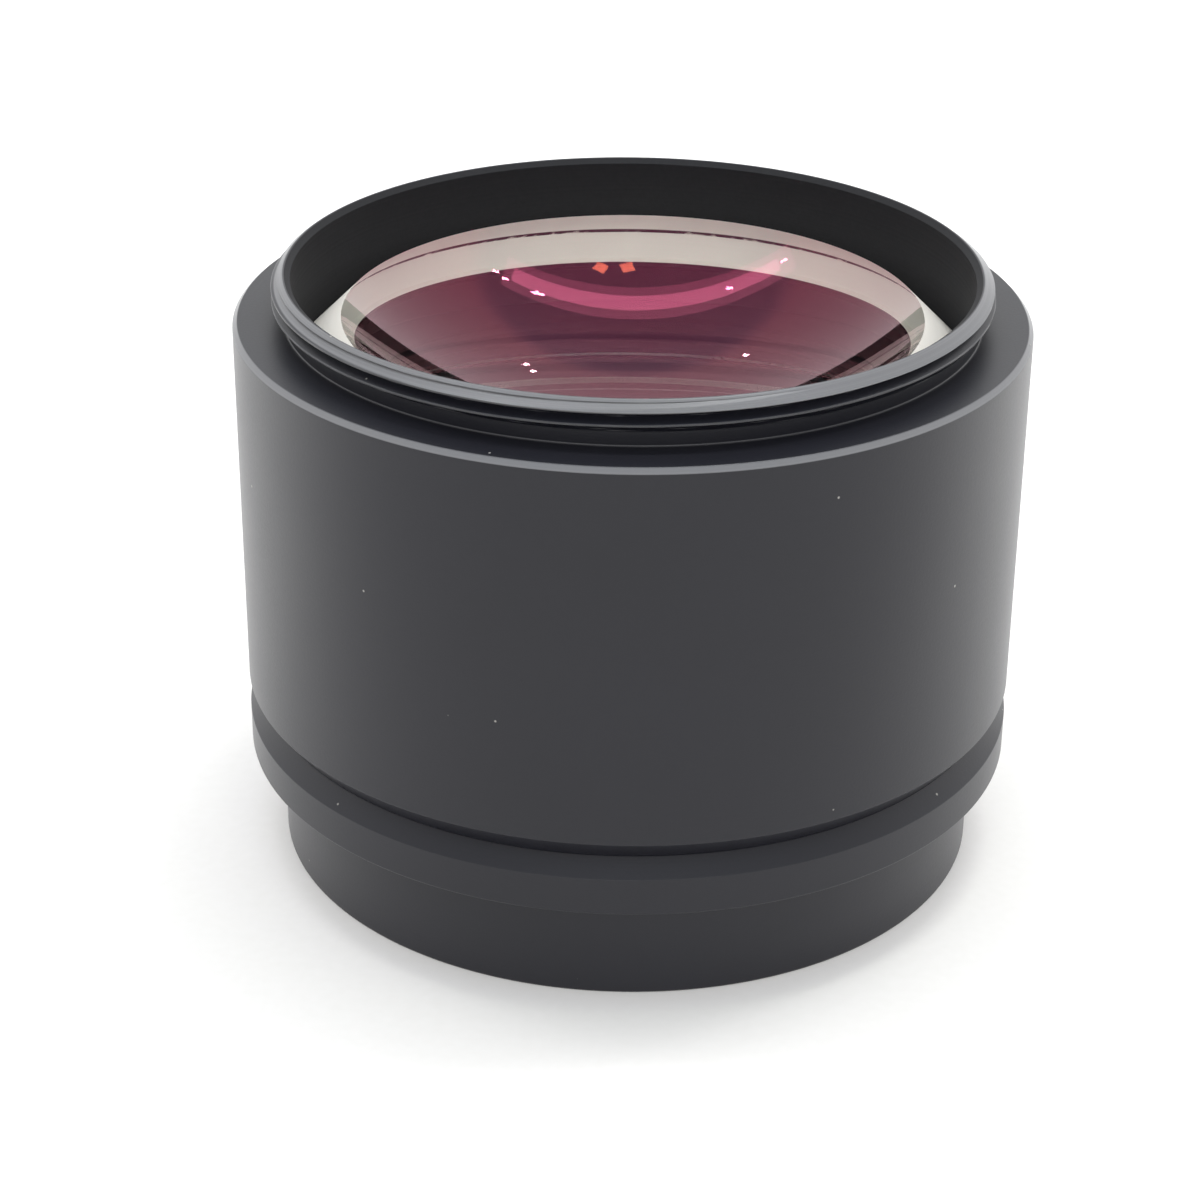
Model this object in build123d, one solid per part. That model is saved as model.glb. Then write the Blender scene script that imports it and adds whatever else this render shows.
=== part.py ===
from build123d import *
import os
from math import copysign, sqrt

# Common main objective of a stereo microscope, standing on its front end.
# Sizes are in mm. The optical axis is Z, and the base face of the front ring is z = 0.
# Front means the end towards the specimen, which is down. Rear means the end towards the body.

# Outside of the barrel
BARREL_DIA = 72.0
SHOULDER_CHAMFER = 0.45
BARREL_WALL = 4.2
TAIL_WALL = 1.7
TAIL_LENGTH = 3.9

# V groove round the joint, cut half in the barrel and half in the front ring
GROOVE_DEPTH = 1.4
GROOVE_HALF_ON_BARREL = 1.85
GROOVE_HALF_ON_RING = 1.6

# Neck with the male mounting thread, drawn here at its crest diameter
SHOULDER_WIDTH = 3.55
NECK_HEIGHT = 4.15
NECK_WALL = 1.75
THREAD_LENGTH = 1.5
THREAD_RELIEF = 1.05
THREAD_LEAD_IN = 0.8

# Front ring: a rim as wide as the barrel over the seat for a ring light
RIM_STEP = 3.0
RIM_HEIGHT = 5.1
SEAT_LENGTH = 10.0
SEAT_WALL = 3.0
SEAT_CHAMFER = 0.4

# Radial play of whatever is dropped or screwed into a bore, and broken edges
FIT = 0.1
EDGE_BREAK = 0.2

# Rear lens: a thick negative meniscus that shows in the neck
RIM_ABOVE_GLASS = 4.3
REAR_BEVEL_WIDTH = 5.4
REAR_TOP_RADIUS = 36.0
REAR_BOTTOM_RADIUS = 60.0
REAR_CENTRE = 6.9

# Middle lens: a cemented crown and flint in its own cell
REAR_AIR_GAP = 0.55
MIDDLE_TOP_RADIUS = 150.0
MIDDLE_CEMENT_RADIUS = 90.0
MIDDLE_BOTTOM_RADIUS = 150.0
MIDDLE_CROWN_EDGE = 2.5
MIDDLE_FLINT_CENTRE = 2.9
MIDDLE_CELL_WALL = 3.3

# Front lens: a second cemented pair, held in the front cell
GROUP_GAP = 4.45
FRONT_TOP_RADIUS = 80.0
FRONT_CEMENT_RADIUS = 90.0
FRONT_BOTTOM_RADIUS = 400.0
FRONT_CROWN_EDGE = 1.5
FRONT_FLINT_CENTRE = 2.5
FRONT_CELL_WALL = 1.8
FRONT_RECESS = 2.1

# Lens edges and the lips and rings that hold them
LENS_BEVEL = 0.4
LIP_WIDTH = 1.3
FRONT_LIP_FLARE = 1.0
MIDDLE_LIP_HEIGHT = 1.6
FRONT_CELL_RECESS = 0.5
RETAINER_THREAD_STEP = 0.9
RETAINER_LAP = 0.9
RETAINER_HEIGHT = 2.0
MIDDLE_CELL_RIM = 0.3
FRONT_CELL_RIM = 3.1
SLOT_WIDTH = 1.6
SLOT_DEPTH = 0.9

# Rings of the stack between the front cell and the rear lens
LOCK_RING_HEIGHT = 1.7
LOCK_RING_RECESS = 0.1
BAFFLE_HEIGHT = 0.5
BAFFLE_LAP = 4.1
BAFFLE_LIP = 0.15
SPACER_WALL = 2.1
SHIM_HEIGHT = 0.3
REAR_SEAT_WIDTH = 1.1
CELL_RELIEF = 0.4
GUIDE_HEIGHT = 2.5
BAFFLE_GROOVE_PITCH = 1.2
BAFFLE_GROOVE_DEPTH = 0.5

# Round rubber rings
STACK_RUBBER = 1.4
STACK_RUBBER_GROOVE = 1.0
JOINT_RUBBER = 0.9
JOINT_RUBBER_BELOW_RIM = 2.9
RUBBER_PLAY = 0.02

# Radii that follow from the sizes above
BARREL_R = BARREL_DIA / 2
GROOVE_R = BARREL_R - GROOVE_DEPTH
THREAD_R = BARREL_R - SHOULDER_WIDTH
NECK_BORE_R = THREAD_R - NECK_WALL
SEAT_R = BARREL_R - RIM_STEP
STACK_BORE_R = BARREL_R - BARREL_WALL
STACK_R = STACK_BORE_R - FIT
TAIL_R = STACK_BORE_R + TAIL_WALL
SEAT_BORE_R = SEAT_R - SEAT_WALL
FRONT_CELL_R = SEAT_BORE_R - FIT
FRONT_BORE_R = FRONT_CELL_R - FRONT_CELL_WALL
FRONT_LENS_R = FRONT_BORE_R - FIT
MIDDLE_BORE_R = STACK_R - MIDDLE_CELL_WALL
MIDDLE_LENS_R = MIDDLE_BORE_R - FIT
REAR_GLASS_R = STACK_R - REAR_BEVEL_WIDTH
REAR_SEAT_R = STACK_R - REAR_SEAT_WIDTH


class Surface:
    """A polished sphere about the axis. Its radius is positive for a bowl and negative for a dome."""

    def __init__(self, radius, pole=0.0):
        self.radius = radius
        self.pole = pole

    def sag(self, r):
        """Height of the surface at distance r from the axis, counted from its pole."""
        return copysign(abs(self.radius) - sqrt(self.radius**2 - r**2), self.radius)

    def height(self, r):
        return self.pole + self.sag(r)

    def arc(self, r_from, r_to):
        """The stretch of the surface's section between two distances from the axis."""
        ends = [(r, self.height(r)) for r in (r_from, (r_from + r_to) / 2, r_to)]
        return ThreePointArc(*ends)


# Polished surfaces from the base upwards; each pole follows from the glass or air below it
front_bottom = Surface(FRONT_BOTTOM_RADIUS, FRONT_RECESS)
front_cement = Surface(FRONT_CEMENT_RADIUS, front_bottom.pole + FRONT_FLINT_CENTRE)
front_top = Surface(-FRONT_TOP_RADIUS)
front_top.pole = front_cement.height(FRONT_LENS_R) + FRONT_CROWN_EDGE - front_top.sag(FRONT_LENS_R)
middle_bottom = Surface(MIDDLE_BOTTOM_RADIUS, front_top.pole + GROUP_GAP)
middle_cement = Surface(MIDDLE_CEMENT_RADIUS, middle_bottom.pole + MIDDLE_FLINT_CENTRE)
middle_top = Surface(-MIDDLE_TOP_RADIUS)
middle_top.pole = (middle_cement.height(MIDDLE_LENS_R) + MIDDLE_CROWN_EDGE
                   - middle_top.sag(MIDDLE_LENS_R))
rear_bottom = Surface(REAR_BOTTOM_RADIUS, middle_top.pole + REAR_AIR_GAP)
rear_top = Surface(REAR_TOP_RADIUS, rear_bottom.pole + REAR_CENTRE)

# Heights of the outside, the seats and the stack
GLASS_EDGE_Z = rear_top.height(REAR_GLASS_R)
TOP_Z = GLASS_EDGE_Z + RIM_ABOVE_GLASS
SHOULDER_Z = TOP_Z - NECK_HEIGHT
THREAD_TOP_Z = TOP_Z - THREAD_LEAD_IN
THREAD_END_Z = THREAD_TOP_Z - THREAD_LENGTH
JOINT_Z = SEAT_LENGTH + RIM_HEIGHT
TAIL_Z = JOINT_Z - TAIL_LENGTH
LOCK_RING_Z = TAIL_Z + LOCK_RING_RECESS
FLANGE_Z = LOCK_RING_Z + LOCK_RING_HEIGHT
FRONT_LIP_R = FRONT_BORE_R - LIP_WIDTH
FRONT_SEAT_Z = front_bottom.height(FRONT_LIP_R)
FRONT_RETAINER_Z = front_top.height(FRONT_LENS_R - RETAINER_LAP)
BAFFLE_Z = FRONT_RETAINER_Z + RETAINER_HEIGHT + FRONT_CELL_RIM
MIDDLE_SPACER_Z = BAFFLE_Z + BAFFLE_HEIGHT
MIDDLE_LIP_R = MIDDLE_BORE_R - LIP_WIDTH
MIDDLE_SEAT_Z = middle_bottom.height(MIDDLE_LIP_R)
MIDDLE_CELL_Z = MIDDLE_SEAT_Z - MIDDLE_LIP_HEIGHT
MIDDLE_RETAINER_Z = middle_top.height(MIDDLE_LENS_R - RETAINER_LAP)
MIDDLE_CELL_TOP_Z = MIDDLE_RETAINER_Z + RETAINER_HEIGHT + MIDDLE_CELL_RIM
REAR_SPACER_Z = MIDDLE_CELL_TOP_Z + SHIM_HEIGHT
REAR_SEAT_Z = rear_bottom.height(REAR_SEAT_R)


def bevel_z(r):
    """Height of the rear lens's 45 degree bevel, and of the barrel's seat for it, at distance r."""
    return GLASS_EDGE_Z - (r - REAR_GLASS_R)


def turned(*points):
    """A solid turned about Z from its half section, given as (radius, height) corners."""
    section = make_face(Polyline(*points, close=True))
    return revolve(Plane.XZ * section, Axis.Z)


def ring(r_in, r_out, z_low, z_high):
    return turned((r_in, z_low), (r_out, z_low), (r_out, z_high), (r_in, z_high))


def rubber_ring(section, r_middle, z_middle):
    """A round-section ring, drawn a little under size so that it touches without being squeezed."""
    return Pos(0, 0, z_middle) * Torus(r_middle, section / 2 - RUBBER_PLAY)


def lens(top, bottom, r_top, r_bottom, *edge):
    """A lens turned from two polished surfaces and the corners of its ground edge, listed downwards."""
    outline = [
        top.arc(0, r_top),
        Polyline((r_top, top.height(r_top)), *edge, (r_bottom, bottom.height(r_bottom))),
        bottom.arc(r_bottom, 0),
        Line((0, bottom.pole), (0, top.pole)),
    ]
    return revolve(Plane.XZ * make_face(outline), Axis.Z)


def retaining_ring(r_in, r_out, z_low):
    """A threaded ring with two slots for a spanner in its upper face."""
    z_high = z_low + RETAINER_HEIGHT
    slot = Pos(0, 0, z_high) * Box(2 * r_out + 1, SLOT_WIDTH, 2 * SLOT_DEPTH)
    return ring(r_in, r_out, z_low, z_high) - slot


def baffle_grooves(r_wall, z_low, z_high):
    """Corners of a row of saw-tooth grooves that stop light from glancing off an inner wall."""
    count = int((z_high - z_low) / BAFFLE_GROOVE_PITCH)
    first = (z_low + z_high - count * BAFFLE_GROOVE_PITCH) / 2
    corners = []
    for i in range(count):
        z = first + i * BAFFLE_GROOVE_PITCH
        corners += [(r_wall, z), (r_wall + BAFFLE_GROOVE_DEPTH, z + BAFFLE_GROOVE_PITCH / 2)]
    return corners + [(r_wall, first + count * BAFFLE_GROOVE_PITCH)]


def outer_barrel():
    """Barrel, shoulder and threaded neck in one piece, bored from below up to the conical lens seat."""
    relief_r = THREAD_R - THREAD_RELIEF
    rubber_z = JOINT_Z - JOINT_RUBBER_BELOW_RIM
    rubber_r = TAIL_R + FIT - JOINT_RUBBER
    body = turned(
        (STACK_BORE_R, TAIL_Z),
        (TAIL_R - EDGE_BREAK, TAIL_Z),
        (TAIL_R, TAIL_Z + EDGE_BREAK),
        (TAIL_R, rubber_z - JOINT_RUBBER / 2),
        (rubber_r, rubber_z - JOINT_RUBBER / 2),
        (rubber_r, rubber_z + JOINT_RUBBER / 2),
        (TAIL_R, rubber_z + JOINT_RUBBER / 2),
        (TAIL_R, JOINT_Z),
        (GROOVE_R, JOINT_Z),
        (BARREL_R, JOINT_Z + GROOVE_HALF_ON_BARREL),
        (BARREL_R, SHOULDER_Z - SHOULDER_CHAMFER),
        (BARREL_R - SHOULDER_CHAMFER, SHOULDER_Z),
        (relief_r, SHOULDER_Z),
        (relief_r, THREAD_END_Z - THREAD_RELIEF / 2),
        (THREAD_R, THREAD_END_Z),
        (THREAD_R, THREAD_TOP_Z),
        (relief_r, TOP_Z),
        (NECK_BORE_R + EDGE_BREAK, TOP_Z),
        (NECK_BORE_R, TOP_Z - EDGE_BREAK),
        (NECK_BORE_R, bevel_z(NECK_BORE_R)),
        (STACK_BORE_R, bevel_z(STACK_BORE_R)),
    )
    return body


def front_ring():
    """Rim and ring-light seat in one piece, screwed up over the barrel's tail."""
    tail_bore_r = TAIL_R + FIT
    floor_z = TAIL_Z - FIT
    return turned(
        (SEAT_BORE_R + EDGE_BREAK, 0),
        (SEAT_R - SEAT_CHAMFER, 0),
        (SEAT_R, SEAT_CHAMFER),
        (SEAT_R, SEAT_LENGTH),
        (BARREL_R - EDGE_BREAK, SEAT_LENGTH),
        (BARREL_R, SEAT_LENGTH + EDGE_BREAK),
        (BARREL_R, JOINT_Z - GROOVE_HALF_ON_RING),
        (GROOVE_R, JOINT_Z),
        (tail_bore_r, JOINT_Z),
        (tail_bore_r, floor_z),
        (SEAT_BORE_R, floor_z),
        (SEAT_BORE_R, EDGE_BREAK),
    )


def rear_lens():
    """Negative meniscus: hollow polished top, wide ground bevel, ground edge, polished underside."""
    foot_r = STACK_R - LENS_BEVEL
    return lens(
        rear_top, rear_bottom, REAR_GLASS_R, foot_r,
        (STACK_R, bevel_z(STACK_R)),
        (STACK_R, rear_bottom.height(foot_r) + LENS_BEVEL),
    )


def rear_spacer():
    """Spacer between the shim and the rear lens, grooved inside, touching the glass at one corner."""
    wall_r = STACK_R - SPACER_WALL
    grooves = baffle_grooves(wall_r, REAR_SPACER_Z + EDGE_BREAK, REAR_SEAT_Z - 2 * SPACER_WALL)
    return turned(
        (wall_r, REAR_SPACER_Z),
        *grooves,
        (REAR_SEAT_R, REAR_SEAT_Z),
        (STACK_R, REAR_SEAT_Z),
        (STACK_R, REAR_SPACER_Z),
    )


def parfocal_shim():
    return ring(STACK_R - SPACER_WALL, STACK_R, MIDDLE_CELL_TOP_Z, REAR_SPACER_Z)


def middle_crown_lens():
    top_r = MIDDLE_LENS_R - LENS_BEVEL
    return lens(
        middle_top, middle_cement, top_r, MIDDLE_LENS_R,
        (MIDDLE_LENS_R, middle_top.height(top_r) - LENS_BEVEL),
    )


def middle_flint_lens():
    foot_r = MIDDLE_LENS_R - LENS_BEVEL
    return lens(
        middle_cement, middle_bottom, MIDDLE_LENS_R, foot_r,
        (MIDDLE_LENS_R, middle_bottom.height(foot_r) + LENS_BEVEL),
    )


def middle_cell():
    """Cell for the middle pair, guided in the barrel at its two ends and relieved between them."""
    thread_r = MIDDLE_BORE_R + RETAINER_THREAD_STEP
    thread_z = middle_top.height(MIDDLE_LENS_R) - LENS_BEVEL
    waist_r = STACK_R - CELL_RELIEF
    return turned(
        (MIDDLE_LIP_R, MIDDLE_CELL_Z),
        (STACK_R, MIDDLE_CELL_Z),
        (STACK_R, MIDDLE_CELL_Z + GUIDE_HEIGHT),
        (waist_r, MIDDLE_CELL_Z + GUIDE_HEIGHT),
        (waist_r, MIDDLE_CELL_TOP_Z - GUIDE_HEIGHT),
        (STACK_R, MIDDLE_CELL_TOP_Z - GUIDE_HEIGHT),
        (STACK_R, MIDDLE_CELL_TOP_Z),
        (thread_r, MIDDLE_CELL_TOP_Z),
        (thread_r, thread_z),
        (MIDDLE_BORE_R, thread_z),
        (MIDDLE_BORE_R, MIDDLE_SEAT_Z),
        (MIDDLE_LIP_R, MIDDLE_SEAT_Z),
    )


def middle_retaining_ring():
    r_out = MIDDLE_BORE_R + RETAINER_THREAD_STEP - FIT
    return retaining_ring(MIDDLE_LENS_R - RETAINER_LAP, r_out, MIDDLE_RETAINER_Z)


def middle_spacer():
    """Grooved spacer under the middle cell, with a face groove for the rubber ring it presses on."""
    wall_r = STACK_R - 2 * SPACER_WALL
    groove_z = MIDDLE_CELL_Z - STACK_RUBBER
    top_z = groove_z + STACK_RUBBER_GROOVE
    groove_in, groove_out = stack_rubber_r() - STACK_RUBBER / 2, stack_rubber_r() + STACK_RUBBER / 2
    return turned(
        (wall_r, MIDDLE_SPACER_Z),
        *baffle_grooves(wall_r, MIDDLE_SPACER_Z + EDGE_BREAK, top_z - EDGE_BREAK),
        (wall_r, top_z),
        (groove_in, top_z),
        (groove_in, groove_z),
        (groove_out, groove_z),
        (groove_out, top_z),
        (STACK_R, top_z),
        (STACK_R, MIDDLE_SPACER_Z),
    )


def stack_rubber_r():
    """Middle radius of the rubber ring, half way across the face that it lies under."""
    return STACK_R - SPACER_WALL + BAFFLE_GROOVE_DEPTH


def stack_rubber_ring():
    return rubber_ring(STACK_RUBBER, stack_rubber_r(), MIDDLE_CELL_Z - STACK_RUBBER / 2)


def light_baffle():
    """Thin ring with a knife edge, clamped on the front cell's flange."""
    inner_r = STACK_R - BAFFLE_LAP
    return turned(
        (inner_r, BAFFLE_Z),
        (STACK_R, BAFFLE_Z),
        (STACK_R, MIDDLE_SPACER_Z),
        (inner_r + BAFFLE_HEIGHT, MIDDLE_SPACER_Z),
        (inner_r, BAFFLE_Z + BAFFLE_LIP),
    )


def front_cell():
    """Cell for the front pair: a body inside the ring-light seat and a flange inside the barrel."""
    thread_r = FRONT_BORE_R + RETAINER_THREAD_STEP
    thread_z = front_top.height(FRONT_LENS_R) - LENS_BEVEL
    flare_r = FRONT_LIP_R + FRONT_LIP_FLARE
    flare_z = FRONT_CELL_RECESS + FRONT_LIP_FLARE
    return turned(
        (FRONT_LIP_R, flare_z),
        (flare_r, FRONT_CELL_RECESS),
        (FRONT_CELL_R - EDGE_BREAK, FRONT_CELL_RECESS),
        (FRONT_CELL_R, FRONT_CELL_RECESS + EDGE_BREAK),
        (FRONT_CELL_R, FLANGE_Z),
        (STACK_R, FLANGE_Z),
        (STACK_R, BAFFLE_Z),
        (thread_r, BAFFLE_Z),
        (thread_r, thread_z),
        (FRONT_BORE_R, thread_z),
        (FRONT_BORE_R, FRONT_SEAT_Z),
        (FRONT_LIP_R, FRONT_SEAT_Z),
    )


def front_crown_lens():
    top_r = FRONT_LENS_R - LENS_BEVEL
    return lens(
        front_top, front_cement, top_r, FRONT_LENS_R,
        (FRONT_LENS_R, front_top.height(top_r) - LENS_BEVEL),
    )


def front_flint_lens():
    foot_r = FRONT_LENS_R - LENS_BEVEL
    return lens(
        front_cement, front_bottom, FRONT_LENS_R, foot_r,
        (FRONT_LENS_R, front_bottom.height(foot_r) + LENS_BEVEL),
    )


def front_retaining_ring():
    r_out = FRONT_BORE_R + RETAINER_THREAD_STEP - FIT
    return retaining_ring(FRONT_LENS_R - RETAINER_LAP, r_out, FRONT_RETAINER_Z)


def lock_ring():
    """Threaded ring in the barrel's tail that holds the front cell's flange up against the stack."""
    slot = Pos(0, 0, LOCK_RING_Z) * Box(2 * STACK_R + 1, SLOT_WIDTH, 2 * SLOT_DEPTH)
    return ring(FRONT_CELL_R + FIT, STACK_R, LOCK_RING_Z, FLANGE_Z) - slot


def joint_rubber_ring():
    """Dust seal in the groove of the barrel's tail."""
    r_middle = TAIL_R + FIT - JOINT_RUBBER / 2
    return rubber_ring(JOINT_RUBBER, r_middle, JOINT_Z - JOINT_RUBBER_BELOW_RIM)


PIECES = [
    outer_barrel, front_ring, rear_lens, rear_spacer, parfocal_shim, middle_crown_lens,
    middle_flint_lens, middle_cell, middle_retaining_ring, middle_spacer, stack_rubber_ring,
    light_baffle, front_cell, front_crown_lens, front_flint_lens, front_retaining_ring,
    lock_ring, joint_rubber_ring,
]

os.makedirs("parts", exist_ok=True)
for piece in PIECES:
    export_step(piece(), f"parts/{piece.__name__}.step")
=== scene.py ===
from math import pi, radians, sqrt, tan

import bpy
import numpy as np
from bpy.props import FloatProperty, FloatVectorProperty, PointerProperty
from mathutils import Matrix, Vector


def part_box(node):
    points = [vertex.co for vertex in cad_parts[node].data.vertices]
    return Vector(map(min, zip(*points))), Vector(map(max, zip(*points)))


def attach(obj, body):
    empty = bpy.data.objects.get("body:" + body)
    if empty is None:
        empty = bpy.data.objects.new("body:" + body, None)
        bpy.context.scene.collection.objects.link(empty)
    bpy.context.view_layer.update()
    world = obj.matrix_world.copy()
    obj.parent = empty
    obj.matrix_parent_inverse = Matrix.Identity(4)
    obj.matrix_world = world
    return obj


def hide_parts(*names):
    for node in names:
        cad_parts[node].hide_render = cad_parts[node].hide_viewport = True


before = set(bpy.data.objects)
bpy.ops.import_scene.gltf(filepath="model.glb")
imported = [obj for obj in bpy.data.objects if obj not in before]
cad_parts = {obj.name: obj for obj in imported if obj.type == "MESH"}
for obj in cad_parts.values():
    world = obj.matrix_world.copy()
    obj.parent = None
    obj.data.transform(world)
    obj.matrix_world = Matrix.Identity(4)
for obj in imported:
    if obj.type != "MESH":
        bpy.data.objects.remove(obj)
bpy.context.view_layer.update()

bl_info = {
    "name": "Stereo microscope objective",
    "version": (1, 0, 0),
    "blender": (4, 5, 0),
    "location": "View3D > Sidebar > Objective",
    "description": "Turned pieces, coated lenses and finishes of a stereo microscope objective",
    "category": "Mesh",
}

BODY = "root"
MM = 0.001

# Sizes of the solids, in mm, as (radius, height) from the middle of the base face
BARREL_R = 36.0
GROOVE_R = 34.6
THREAD_R = 32.45
RELIEF_R = 31.4
NECK_BORE_R = 30.7
STACK_BORE_R = 31.8
STACK_R = 31.7
TAIL_R = 33.5
SEAT_R = 33.0
SEAT_BORE_R = 30.0
SEAT_LENGTH = 10.0
JOINT_Z = 15.1
TAIL_Z = 11.2
GROOVE_TOP_Z = 16.95
GROOVE_FOOT_Z = 13.5
SHOULDER_CHAMFER = 0.45
NECK_HEIGHT = 4.15
THREAD_LEAD_IN = 0.8
THREAD_LENGTH = 1.5
THREAD_RUN_OUT = 0.525
MOUTH_BEVEL_WIDTH = 0.6
MOUTH_BEVEL_DEPTH = 0.45
RIM_ABOVE_GLASS = 4.3
REAR_GLASS_R = 26.3
REAR_SEAT_R = 30.6
REAR_FOOT_R = 31.3
SPACER_WALL_R = 29.6
MIDDLE_WALL_R = 27.5
MIDDLE_LENS_R = 28.3
MIDDLE_BORE_R = 28.4
FRONT_LENS_R = 28.0
FRONT_BORE_R = 28.1
FRONT_CELL_R = 29.9
LENS_BEVEL = 0.4
LIP_WIDTH = 1.3
LIP_FLARE = 1.0
RETAINER_THREAD_STEP = 0.9
CELL_RELIEF = 0.4
GUIDE_HEIGHT = 2.5
LOCK_RING_TOP_Z = 13.0
PLAIN_CONE_HEIGHT = 4.2
RUBBER_GROOVE_IN_R = 29.4
RUBBER_GROOVE_OUT_R = 30.8
RUBBER_GROOVE_DEPTH = 1.0
EDGE_BREAK = 0.2
FIT = 0.1
GROOVE_PITCH = 1.2
GROOVE_DEPTH = 0.5


class Sphere:
    """A polished sphere about the axis. Its radius is positive for a bowl and negative for a dome."""

    def __init__(self, radius, pole=0.0):
        self.radius = radius
        self.pole = pole

    def sag(self, r):
        """Height above the pole: the radius less the root of radius squared less r squared."""
        return np.sign(self.radius) * (abs(self.radius) - np.sqrt(self.radius**2 - np.square(r)))

    def height(self, r):
        """Height of the surface at a distance from the axis: the pole's height plus the sag."""
        return self.pole + self.sag(r)

    def arc(self, r_from, r_to, count):
        """Points of the section between two distances from the axis, evenly spaced across it."""
        r = np.linspace(r_from, r_to, count)
        return np.column_stack([r, self.height(r)])


# Thicknesses and air spaces of the glass in mm, on the axis or at a crown's edge
FRONT_RECESS = 2.1
FRONT_FLINT_CENTRE = 2.5
FRONT_CROWN_EDGE = 1.5
GROUP_GAP = 4.45
MIDDLE_FLINT_CENTRE = 2.9
MIDDLE_CROWN_EDGE = 2.5
REAR_AIR_GAP = 0.55
REAR_CENTRE = 6.9

# Polished surfaces from the base upwards
front_bottom = Sphere(400.0, FRONT_RECESS)
front_cement = Sphere(90.0, front_bottom.pole + FRONT_FLINT_CENTRE)
front_top = Sphere(-80.0)
front_top.pole = front_cement.height(FRONT_LENS_R) + FRONT_CROWN_EDGE - front_top.sag(FRONT_LENS_R)
middle_bottom = Sphere(150.0, front_top.pole + GROUP_GAP)
middle_cement = Sphere(90.0, middle_bottom.pole + MIDDLE_FLINT_CENTRE)
middle_top = Sphere(-150.0)
middle_top.pole = (middle_cement.height(MIDDLE_LENS_R) + MIDDLE_CROWN_EDGE
                   - middle_top.sag(MIDDLE_LENS_R))
rear_bottom = Sphere(60.0, middle_top.pole + REAR_AIR_GAP)
rear_top = Sphere(36.0, rear_bottom.pole + REAR_CENTRE)

GLASS_EDGE_Z = rear_top.height(REAR_GLASS_R)
TOP_Z = GLASS_EDGE_Z + RIM_ABOVE_GLASS
SHOULDER_Z = TOP_Z - NECK_HEIGHT
THREAD_TOP_Z = TOP_Z - THREAD_LEAD_IN
THREAD_END_Z = THREAD_TOP_Z - THREAD_LENGTH

# How finely the pieces are turned: steps round the axis, the turn of an arc's step, and in mm the
# distance of the points that support a rounded corner, the rows of the thread and the longest row
SEGMENTS = 288
CELL_SEGMENTS = 256
LENS_STEPS = 72
ARC_STEP = radians(12)
SUPPORT = 0.07
ROW_HEIGHT = 0.04
LONGEST_STEP = 2.5
SMOOTH_ANGLE = radians(32)

# The largest share of a side that an arc takes, and a length in mm that counts as nothing
ARC_SHARE = 0.45
TINY = 1e-6

# Roundings in mm of corners that touch glass, that end a bore, and of the grooves' teeth
SHARP = 0.03
CRISP = 0.05
TOOTH_ROUNDING = 0.04


class ObjectiveSizes(bpy.types.PropertyGroup):
    """Sizes of the details that the turned pieces get"""

    edge_rounding: FloatProperty(
        name="Edge rounding", description="Radius of a broken edge", default=0.00012, unit="LENGTH")
    thread_pitch: FloatProperty(
        name="Thread pitch", description="Rise of the mounting thread in one turn",
        default=0.00114, unit="LENGTH")
    thread_depth: FloatProperty(
        name="Thread depth", description="Depth of the mounting thread",
        default=0.00084, unit="LENGTH")


class ObjectiveFinishes(bpy.types.PropertyGroup):
    """Colours and optical values of the finishes"""

    outside: FloatVectorProperty(
        name="Outside anodising", description="Colour of the satin anodised outside",
        default=(0.005, 0.0051, 0.0085), subtype="COLOR")
    inside: FloatVectorProperty(
        name="Inside anodising", description="Colour of the matt anodised bores and rings",
        default=(0.0045, 0.0045, 0.0055), subtype="COLOR")
    stack: FloatVectorProperty(
        name="Stack black", description="Colour of the dull black spacers and cells",
        default=(0.0025, 0.0025, 0.003), subtype="COLOR")
    coating: FloatVectorProperty(
        name="Lens coating", description="Tint of what the lens coating reflects",
        default=(0.85, 0.1, 0.26), subtype="COLOR")
    ground: FloatVectorProperty(
        name="Ground glass", description="Colour of the ground bevels and edges of the lenses",
        default=(0.93, 0.88, 0.79), subtype="COLOR")
    outside_roughness: FloatProperty(
        name="Outside roughness", description="Roughness of the satin anodised outside",
        default=0.43, subtype="FACTOR")
    rear_index: FloatProperty(
        name="Rear lens index", description="Refractive index of the rear lens", default=1.8)
    inner_index: FloatProperty(
        name="Inner lens index", description="Refractive index of the other lenses", default=1.62)


class ObjectiveStage(bpy.types.PropertyGroup):
    """Floor, light and camera"""

    wall_light: FloatProperty(
        name="Walls", description="Light from the pale walls behind and beside the object", default=1.5)
    ceiling_colour: FloatVectorProperty(
        name="Ceiling colour", description="Colour of the light from the ceiling",
        default=(0.86, 0.96, 1.14), subtype="COLOR")
    near_light: FloatProperty(
        name="Near side", description="Light from the room behind the camera", default=0.75)
    ceiling_light: FloatProperty(
        name="Ceiling", description="Light from the ceiling between its lamps", default=1.0)
    lamp_power: FloatProperty(
        name="Ceiling lamps", description="Power of a long lamp overhead, before its share",
        default=2.4, unit="POWER")
    near_power: FloatProperty(
        name="Near lamp", description="Power of the soft lamp above the camera",
        default=4.4, unit="POWER")
    spot_power: FloatProperty(
        name="Ceiling spots", description="Power of each small lamp", default=0.09, unit="POWER")
    floor_glow: FloatProperty(
        name="Floor white", description="Share of white that the floor shows by itself", default=0.1)
    far_floor_glow: FloatProperty(
        name="Far floor", description="How much brighter the far floor is in reflections", default=1.05)
    camera_lens: FloatProperty(
        name="Camera lens", description="Focal length in mm on a 36 mm sensor", default=87.18)


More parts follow.
